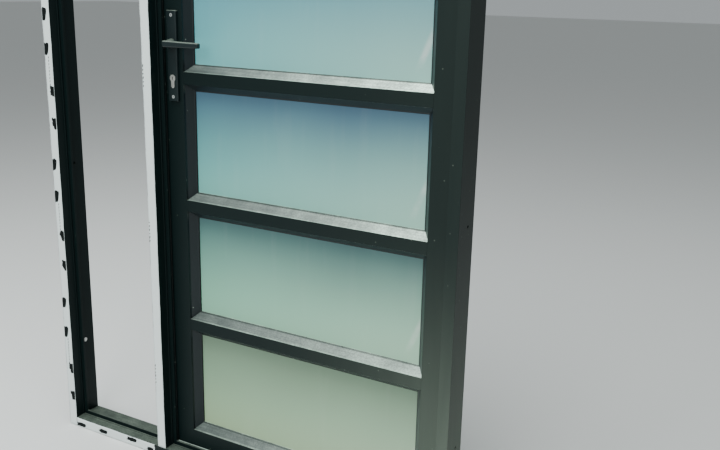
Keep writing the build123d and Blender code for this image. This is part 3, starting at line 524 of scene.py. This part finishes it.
# Black print on the film; the same material is the painted shade in the screws' cross recesses.
print_and_recess_shade = plain_material("print_and_recess_shade", (0.004, 0.006, 0.006), 0.7, shine=0.1)
print("materials so far:", len(bpy.data.materials))

# %% [markdown]
# ## Giving each solid its finish
#
# On the real door one finish covers many members. Each solid could be dressed by its own name,
# but the part's record already names a slot for it, so the finish is chosen by that slot.

# %% Assign the materials
finish_of_slot = {
    "profile_coat": charcoal_profile,
    "bead_coat": charcoal_bead,
    "handle_coat": handle_coat,
    "hinge_coat": hinge_coat,
    "frosted_glass": frosted_glass,
    "black_rubber": black_rubber,
    "white_film": white_film,
    "white_plastic": white_plastic,
    "block_plastic": block_plastic,
    "zinc_steel": zinc_steel,
    "lock_steel": lock_steel,
    "nickel_brass": nickel_brass,
}
for name, solid in nodes.items():
    solid.data.materials.clear()
    solid.data.materials.append(finish_of_slot[slot_of_node[name]])
print("solids with a finish:", len(nodes))

# %% [markdown]
# ## Rounding the edges of the extrusions
#
# No extruded or cast edge is perfectly sharp: each has a small radius that catches a line of
# light. The radius could be faked by a bevel in the shader, but then the outline would stay
# sharp. A solid arrives as loose triangles and is left alone, so a copy of it has its corners
# joined, its flat faces made whole, and takes its place. A Bevel modifier rounds the copy's sharp
# edges and Weighted Normal keeps the shading of the large faces flat.

# %% Rounded copies
merge_distance = 0.01 * mm
flat_angle = math.radians(0.3)
sharp_angle = math.radians(35)


def rounded_copy(name, width):
    """The solid with its corners joined and the edges over 35 degrees rounded by width."""
    joined = bmesh.new()
    joined.from_mesh(nodes[name].data)
    bmesh.ops.remove_doubles(joined, verts=joined.verts, dist=merge_distance)
    bmesh.ops.dissolve_limit(joined, angle_limit=flat_angle, verts=joined.verts,
                             edges=joined.edges)
    mesh = bpy.data.meshes.new(f"coated_{name}")
    joined.to_mesh(mesh)
    joined.free()
    if "custom_normal" in mesh.attributes:
        mesh.attributes.remove(mesh.attributes["custom_normal"])
    mesh.materials.clear()
    mesh.materials.append(finish_of_slot[slot_of_node[name]])
    mesh.shade_smooth()
    piece = bpy.data.objects.new(f"coated_{name}", mesh)
    bpy.context.scene.collection.objects.link(piece)
    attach(piece, body_of_node[name])
    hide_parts(name)
    bevel = piece.modifiers.new("edge_radius", "BEVEL")
    bevel.width = width
    bevel.segments = 2
    bevel.limit_method = "ANGLE"
    bevel.angle_limit = sharp_angle
    bevel.use_clamp_overlap = False
    piece.modifiers.new("flat_faces", "WEIGHTED_NORMAL").weight = 100
    return piece


print("edges count as sharp over", round(math.degrees(sharp_angle)), "degrees")

# %% Which solids get a rounded copy
extrusions = ["jamb_left", "jamb_right", "mullion", "frame_sill", "frame_head", "lock_stile",
              "hinge_stile", "bottom_rail", "top_rail"] + [f"transom_{i}" for i in range(1, 6)]
castings = ["handle_plate_outer", "handle_plate_inner", "lever_outer", "lever_inner"]
rounded = [rounded_copy(name, 0.5 * mm) for name in extrusions]
rounded += [rounded_copy(name, 0.4 * mm) for name in castings]
print("rounded copies:", len(rounded))

# %% [markdown]
# ## Glazing beads
#
# The beads are bevelled bars that hold the glass from outdoors. They could be boxes with their
# edges bevelled, but the real ones are one profile carried along a straight line and cut at 45
# degrees, so that four of them meet at mitres, and the grid does just that. The profile has a
# narrow ledge at its outer edge, a long slope and a small nose against the gasket. Its corners
# are rounded, because the lit line along that ledge is what the eye finds first.

# %% The bead's profile
bead_corners = np.array([(0.0, 0.0), (0.6, 5.0), (15.4, 22.4), (17.0, 22.6), (17.0, 24.0),
                         (0.0, 24.0)]) * mm
bead_radii = np.array([0.5, 1.2, 0.7, 0.4, 0.2, 0.2]) * mm


def rounded_outline(corners, radii, steps=5):
    """Each corner is replaced by a curve from radius before it to radius after it:
    (1 - t) squared times the start, 2 t (1 - t) times the corner, t squared times the end."""
    before, after = np.roll(corners, 1, axis=0), np.roll(corners, -1, axis=0)
    toward_before = (before - corners) / np.linalg.norm(before - corners, axis=1)[:, None]
    toward_after = (after - corners) / np.linalg.norm(after - corners, axis=1)[:, None]
    start = corners + toward_before * radii[:, None]
    end = corners + toward_after * radii[:, None]
    t = np.linspace(0, 1, steps)[None, :, None]
    curve = (1 - t) ** 2 * start[:, None] + 2 * t * (1 - t) * corners[:, None] + t**2 * end[:, None]
    return curve.reshape(-1, 2)


bead_outline = rounded_outline(bead_corners, bead_radii)
print("bead outline points:", len(bead_outline))

# %% The bars and their mitres
mitre_gap = 0.25 * mm
rows_in_bar = 9


def bead_bar(length, turn, middle_x, middle_z):
    """x = v (half the length - inset - half the gap), with v from -1 to 1 along the bar and
    the inset from the profile, so that the ends are mitres; turned about Y by turn."""
    inset, depth = bead_outline[:, 0], bead_outline[:, 1]
    v = np.linspace(-1, 1, rows_in_bar)
    along = v[:, None] * (length / 2 - inset - mitre_gap / 2)[None, :]
    points = np.stack([along, np.broadcast_to(depth, along.shape),
                       np.broadcast_to(inset, along.shape)], axis=-1)
    c, s = math.cos(turn), math.sin(turn)
    x = points[..., 0] * c + points[..., 2] * s
    z = -points[..., 0] * s + points[..., 2] * c
    return np.stack([x + middle_x, points[..., 1] + leaf_face, z + middle_z], axis=-1)


print("points in one bar:", rows_in_bar * len(bead_outline))


# %% Four bars round each pane
def bead_set(number, left, right, bottom, top):
    """Four bars round one pane in one mesh, each a quarter turn on from the one before."""
    places = [
        (right - left, 0.0, (left + right) / 2, bottom),
        (top - bottom, -math.pi / 2, right, (bottom + top) / 2),
        (right - left, math.pi, (left + right) / 2, top),
        (top - bottom, math.pi / 2, left, (bottom + top) / 2),
    ]
    points, faces = [], []
    columns = len(bead_outline)
    for length, turn, x, z in places:
        bar = bead_bar(length, turn, x, z)
        first = sum(len(p) for p in points)
        faces += grid_faces(len(bar), columns, close_columns=True, first=first).tolist()
        last_row = first + (len(bar) - 1) * columns
        faces.append(list(range(first, first + columns)))
        faces.append(list(range(last_row + columns - 1, last_row - 1, -1)))
        points.append(bar.reshape(-1, 3))
    piece = make_piece(f"glazing_beads_{number}", np.concatenate(points), faces,
                       charcoal_bead, "leaf")
    weighted = piece.modifiers.new("flat_faces", "WEIGHTED_NORMAL")
    weighted.keep_sharp = True
    piece.data.set_sharp_from_angle(angle=math.radians(50))
    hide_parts(f"pane_beads_{number}")
    return piece


beads = [bead_set(n, *hole) for n, hole in enumerate(pane_holes, start=1)]
print("bead sets:", len(beads), "faces in one:", len(beads[0].data.polygons))

# %% [markdown]
# ## Protective film
#
# The film on the frame's outdoor face is a thin strip that was stuck on at the factory. A white
# colour on the frame's face could stand for it, but its edges would be dead straight. Its edges
# wander by a fraction of a millimetre and it lifts here and there, so each strip is a grid whose
# sides follow an uneven line. Solidify gives it its thickness.

# %% One film strip
film_thick = 0.25 * mm
film_columns = 7
film_row_pitch = 6 * mm
film_inset = 0.7 * mm
edge_swing = 0.6 * mm
least_lift, lift_swing = 0.05 * mm, 0.12 * mm


def film_strip(name, low, high, seed, upright=True, torn=0.0):
    """Across u from 0 to 1 and along v: the sides wander, the skin lifts by up to 0.2 mm, and
    a torn end is pulled back unevenly across u."""
    length = (high.z - low.z) if upright else (high.x - low.x)
    wide = (high.x - low.x) if upright else (high.z - low.z)
    rows = max(40, int(length / film_row_pitch))
    u = np.linspace(0, 1, film_columns)[None, :]
    v = np.linspace(0, 1, rows)[:, None]
    along = v * length
    side = edge_swing * ((1 - u) * wander(along[:, 0] * 40, seed)[:, None]
                         + u * wander(along[:, 0] * 34, seed + 1)[:, None])
    across = film_inset + u * (wide - 2 * film_inset) + side
    pulled = torn * smoothstep((v - 0.9) / 0.1) * (0.3 + 0.7 * np.abs(wander(u[0] * 9, seed + 2)))
    along = along - pulled
    uneven = 0.5 + 0.5 * wander(along[:, 0] * 9, seed + 3)[:, None]
    depth = front_plane - least_lift - lift_swing * uneven * (0.4 + 1.2 * np.abs(u - 0.5))
    first, second = np.broadcast_arrays(across, along)
    if upright:
        points = np.stack([low.x + first, np.broadcast_to(depth, first.shape), low.z + second],
                          axis=-1)
    else:
        points = np.stack([low.x + second, np.broadcast_to(depth, first.shape), low.z + first],
                          axis=-1)
    faces = grid_faces(rows, film_columns)
    if upright:
        faces = faces[:, ::-1]
    piece = make_piece(name, points, faces, white_film, "frame")
    thicken(piece, film_thick, 1.0)
    return piece


print("film strips are", film_thick / mm, "mm thick")

# %% All the film strips
films = [
    ("film_jamb", "tape_jamb", jamb_tape_low, jamb_tape_high, 3, True, 0.0),
    ("film_mullion", "tape_mullion", mullion_tape_low, mullion_tape_high, 11, True, 0.0),
    ("film_sill", "tape_sill", sill_tape_low, sill_tape_high, 19, False, 9 * mm),
    ("film_head", "tape_head", head_tape_low, head_tape_high, 27, False, 0.0),
]
for name, node_name, low, high, seed, upright, torn in films:
    strip = film_strip(name, low, high, seed, upright, torn)
    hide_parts(node_name)
print("film strips:", len(films))

# %% [markdown]
# ## Print on the film
#
# The film carries a repeated dark mark along its edges, two on one side and then two on the
# other, with a broken line of fine print between them. An image could hold the print, but the
# marks here are plain slanted blots and dashes with no lettering, so shapes are enough and stay
# sharp at any distance. Each is an outline whose radius swings with the angle, which makes an
# uneven edge, and what would hang over the film's edge is cut off.

# %% One printed mark
mark_spokes = 48
print_lift = 0.62 * mm
print_thick = 0.08 * mm


def print_blot(x, z, wide, tall, tilt, seed, least=-10.0, most=10.0):
    """A ragged slanted block: radius at angle a = (cos^4 + sin^4) to the power -1/4, times
    1 + 0.28 wander(5 a) that fades out at angle 0, where the ring closes; stretched to wide by
    tall, leaned by tilt, and held in x between least and most."""
    a = np.linspace(0, 2 * math.pi, mark_spokes, endpoint=False)
    block = (np.cos(a) ** 4 + np.sin(a) ** 4) ** -0.25
    seam = 0.5 - 0.5 * np.cos(a)
    edge = block * (1 + 0.28 * wander(a * 5, seed, 6) * seam)
    up = edge * np.sin(a) * tall / 2
    across = x + edge * np.cos(a) * wide / 2 + up * tilt
    inside = (across > least) & (across < most)
    kept = inside | np.roll(inside, 1) | np.roll(inside, -1)
    across = np.clip(across, least, most)
    points = np.stack([across, np.full_like(across, front_plane - print_lift), z + up], axis=-1)
    return points[kept]


print("points in a whole mark:", len(print_blot(0.0, 0.0, 2 * mm, 2 * mm, 0.0, 1)))

# %% The bold marks on the jamb's film
film_edge = 1.6 * mm
mark_period = 403 * mm
highest_mark = 1191.5 * mm
mark_inset = 3.5 * mm
mark_wide = 22 * mm
mark_steps = [(0, True), (-90 * mm, True), (-202 * mm, False), (-289 * mm, False)]
least, most = jamb_tape_low.x + film_edge, jamb_tape_high.x - film_edge
blots = []
for k in range(-2, 3):
    for step, on_left in mark_steps:
        z = highest_mark + k * mark_period + step
        x = least + mark_inset if on_left else most - mark_inset
        tall = (31 + 3 * math.sin(len(blots) * 1.7)) * mm
        lean = 0.2 if on_left else -0.22
        blots.append(print_blot(x, z, mark_wide, tall, lean, 100 + len(blots), least, most))
print("bold marks on the jamb's film:", len(blots))

# %% The bold marks on the sill's and the head's film
low_mark_tall = 12 * mm
sill_marks = np.array([(-554, 34, 9), (-467, 31, 12), (-356, 35, 19), (-288, 22, 9)]) * mm
head_marks = np.array([(-540, 32, -13), (-450, 32, -13), (-338, 32, -13)]) * mm
for marks, edge_height in ((sill_marks, sill_tape_low.z), (head_marks, head_tape_high.z)):
    for x, long, up in marks:
        blots.append(print_blot(x, edge_height + up, long, low_mark_tall, 0.3, 100 + len(blots)))
bold_marks = len(blots)
print("bold marks:", bold_marks)

# %% The fine print as dashes, and all the marks in one piece
tape_middle = (least + most) / 2
mullion_edge = mullion_tape_low.x + film_edge
for k in range(-2, 3):
    for dash in range(9):
        z = highest_mark + k * mark_period - (112 + 9 * dash) * mm
        blots.append(print_blot(tape_middle, z, 1.8 * mm, 5.5 * mm, 0.2, 200 + len(blots)))
    for dash in range(6):
        z = highest_mark + k * mark_period - (113 + 10 * dash) * mm
        tall = (4.6 + 1.8 * math.sin(len(blots) * 2.3)) * mm
        blots.append(print_blot(mullion_edge + 1.1 * mm, z, 2.6 * mm, tall, 0.3,
                                200 + len(blots), mullion_edge))
mark_ends = np.cumsum([len(b) for b in blots])
mark_faces = [list(range(end - len(b), end)) for b, end in zip(blots, mark_ends)]
film_marks = make_piece("film_marks", np.concatenate(blots), mark_faces, print_and_recess_shade, "frame",
                        smooth=False)
thicken(film_marks, print_thick, -1.0)
print("dashes:", len(blots) - bold_marks)

# %% [markdown]
# ## Cross recesses
#
# The screws of the handle plates, the lock, the strike plate and the hinges have cross recesses.
# A recess could be cut with a Boolean, but it is a millimetre deep and under a millimetre wide,
# so it only ever reads as a dark cross. A thin dark star just in front of the head is painted
# shade for the recess, and the solid stays whole.

# %% The shape of a cross and the places of the screws
cross_reach, cross_bar, cross_lift = 2.1 * mm, 0.42 * mm, 0.05 * mm
cross_thick = 0.8 * cross_lift
screw_gap = 4 * mm


def cross_outline(reach, half_bar):
    """A plus sign as a 12-sided ring: three points for each quarter, turned three times."""
    quarter = np.array([(reach, -half_bar), (reach, half_bar), (half_bar, half_bar)])
    turns = np.array([(1, 0), (0, 1), (-1, 0), (0, -1)])
    across = turns[:, :1] * quarter[:, 0] - turns[:, 1:] * quarter[:, 1]
    up = turns[:, 1:] * quarter[:, 0] + turns[:, :1] * quarter[:, 1]
    return across.ravel(), up.ravel()


def screw_heights(name):
    """Middles of a column of screws: corners over 4 mm apart in height are two screws."""
    corners = nodes[name].data.vertices
    places = np.empty(3 * len(corners))
    corners.foreach_get("co", places)
    heights = np.sort(places[2::3])
    screws = np.split(heights, np.where(np.diff(heights) > screw_gap)[0] + 1)
    return [(z[0] + z[-1]) / 2 for z in screws]


print("heights of the lock's screws in mm:",
      [round(z / mm) for z in screw_heights("lock_screws")])


# %% The crosses
def crosses_on(name, axis, signs):
    """A cross of painted recess shade on each head of a column of screws whose heads face along
    axis 0 or 1.
    """
    low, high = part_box(name)
    points, faces = [], []
    for sign in signs:
        plane = (high if sign > 0 else low)[axis] + sign * cross_lift
        for z in screw_heights(name):
            across, up = cross_outline(cross_reach, cross_bar)
            corners = len(across)
            ring = np.full((corners, 3), plane)
            ring[:, 1 - axis] = (low[1 - axis] + high[1 - axis]) / 2 + across
            ring[:, 2] = z + up
            order = sign if axis == 0 else -sign
            faces.append((corners * len(faces) + np.arange(corners)[::order]).tolist())
            points.append(ring)
    # The dark star is painted shade in the cross recess.
    piece = make_piece(f"crosses_{name}", np.concatenate(points), faces, print_and_recess_shade,
                       body_of_node[name], smooth=False)
    thicken(piece, cross_thick, -1.0)
    return len(faces)


crosses = crosses_on("plate_screws", 1, (-1, 1)) + crosses_on("lock_screws", 0, (-1,))
crosses += crosses_on("strike_screws", 0, (1,))
crosses += crosses_on("hinge_leaf_screws", 1, (1,)) + crosses_on("hinge_frame_screws", 1, (1,))
print("cross recesses:", crosses)

# %% [markdown]
# ## Floor, light and camera
#
# The floor is pale and plain, and so wide that its edge lies far behind the door, like a horizon.
# A sky texture could light the door, but a studio is easier to steer: one large soft light hangs
# above and in front, a second one stands in front and a little to the right, and the world gives
# a faint even glow. No light stands low in front and to the left, where the dark faces would
# mirror it into the camera. The camera stands to the right of the door and a little above the
# handle, and looks down and to the left at the lower two thirds of the leaf.

# %% The floor
half_floor = 40.0
floor_points = half_floor * np.array([(-1, -1, 0), (1, -1, 0), (1, 1, 0), (-1, 1, 0)], float)
floor_mesh = bpy.data.meshes.new("floor")
floor_mesh.from_pydata(floor_points.tolist(), [], [(0, 1, 2, 3)])
floor = bpy.data.objects.new("floor", floor_mesh)
bpy.context.scene.collection.objects.link(floor)
floor_material = plain_material("studio_floor", (0.7, 0.7, 0.68), 0.7)
floor_mesh.materials.append(floor_material)
print("floor:", 2 * half_floor, "m wide")

# %% The lights
def area_light(name, place, aim, size, power, colour):
    """A square soft light at a place, turned to face a point."""
    data = bpy.data.lights.new(name, "AREA")
    data.shape = "SQUARE"
    data.size = size
    data.energy = power
    data.color = colour
    light = bpy.data.objects.new(name, data)
    bpy.context.scene.collection.objects.link(light)
    light.location = place
    light.rotation_mode = "QUATERNION"
    light.rotation_quaternion = (light.location - Vector(aim)).to_track_quat("Z", "Y")
    return light


area_light("sky_light", (-0.6, -0.9, 3.9), aim=(-0.1, -0.3, 0.9), size=2.6, power=225,
           colour=(0.93, 0.99, 1.0))
area_light("front_fill", (0.9, -4.3, 2.7), aim=(0.0, 0.0, 0.9), size=2.4, power=138,
           colour=(0.96, 1.0, 0.98))
world = bpy.data.worlds.new("studio")
bpy.context.scene.world = world
world.use_nodes = True
background = world.node_tree.nodes["Background"]
background.inputs["Color"].default_value = (0.72, 0.78, 0.8, 1)
background.inputs["Strength"].default_value = 0.5
print("lights:", len(bpy.data.lights))

# %% The camera
camera_place = (1.2216, -1.6300, 1.2802)
turn_left, look_down, lean = math.radians(28.39), math.radians(14.55), math.radians(1.32)
camera_data = bpy.data.cameras.new("camera")
camera_data.lens = 42.11
camera_data.sensor_width = 36.0
camera_data.shift_y = -0.0278
camera = bpy.data.objects.new("camera", camera_data)
bpy.context.scene.collection.objects.link(camera)
camera.matrix_world = (Matrix.Translation(camera_place)
                       @ Matrix.Rotation(turn_left, 4, "Z")
                       @ Matrix.Rotation(math.pi / 2 - look_down, 4, "X")
                       @ Matrix.Rotation(lean, 4, "Z"))
bpy.context.scene.camera = camera
print("camera lens:", camera_data.lens, "mm, shift:", round(camera_data.shift_y, 4))
